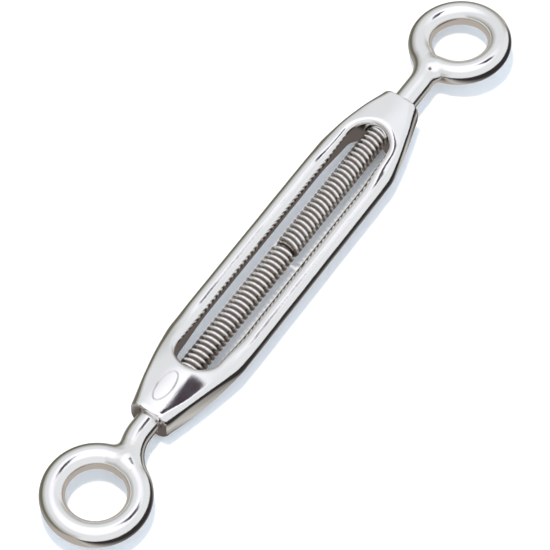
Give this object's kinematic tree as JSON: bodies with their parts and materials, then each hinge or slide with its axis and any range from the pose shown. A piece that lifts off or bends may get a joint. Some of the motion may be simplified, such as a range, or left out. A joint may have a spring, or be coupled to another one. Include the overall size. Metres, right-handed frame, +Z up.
{
  "type": "rigging turnbuckle",
  "caption": "Polished stainless open-frame turnbuckle with a welded eye on each screw, for tensioning a stay or lashing.",
  "frame": {"origin": "middle of the frame, on the common axis of the two screws, within a millimetre of the whole part's centroid", "axes": "+X along the screws towards the left-hand screw's eye, +Y across the frame from leg to leg, +Z up through the window, square to the frame"},
  "size_m": [0.1812, 0.0262, 0.0104],
  "materials": {
    "frame_steel": "bright-polished stainless casting",
    "rod_steel": "polished stainless rod",
    "weld_steel": "stainless filler, lightly dressed"
  },
  "bodies": {
    "frame": {"frame": "frame_steel"},
    "right_hand_screw": {"rh_eye_screw": "rod_steel", "rh_eye_weld": "weld_steel"},
    "left_hand_screw": {"lh_eye_screw": "rod_steel", "lh_eye_weld": "weld_steel"}
  },
  "joints": [
    {"name": "right_hand_travel", "type": "slide", "parent": "frame", "child": "right_hand_screw", "axis": [-1, 0, 0], "range_m": [0, 0.039]},
    {"name": "left_hand_travel", "type": "slide", "parent": "frame", "child": "left_hand_screw", "axis": [1, 0, 0], "range_m": [0, 0.039]}
  ],
  "couplings": [
    {"joint": "left_hand_travel", "follows": "right_hand_travel", "ratio": 1}
  ]
}
